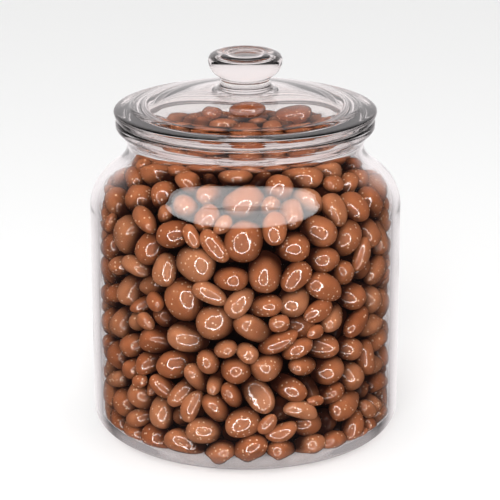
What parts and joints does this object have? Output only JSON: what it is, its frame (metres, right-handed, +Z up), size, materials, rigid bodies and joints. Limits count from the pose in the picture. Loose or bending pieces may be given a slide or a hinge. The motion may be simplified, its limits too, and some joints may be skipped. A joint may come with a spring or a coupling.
{
  "type": "glass sweet jar with lid, full of chocolate covered raisins",
  "caption": "Wide round glass jar with rounded shoulders and a loose domed lid with a round knob, shut and full to the brim with glossy chocolate covered raisins.",
  "frame": {"origin": "centre of the jar's foot, on the surface that it stands on", "axes": "+Z up along the jar's axis, -Y towards the viewer of the picture, +X to the viewer's right"},
  "size_m": [0.175, 0.175, 0.218],
  "materials": {
    "jar_glass": "clear, smooth",
    "lid_glass": "clear, smooth, faintly grey",
    "chocolate": "glossy milk chocolate with a polished shell"
  },
  "bodies": {
    "root": {"jar": "jar_glass", "lid": "lid_glass", "raisins": "chocolate"}
  },
  "joints": []
}
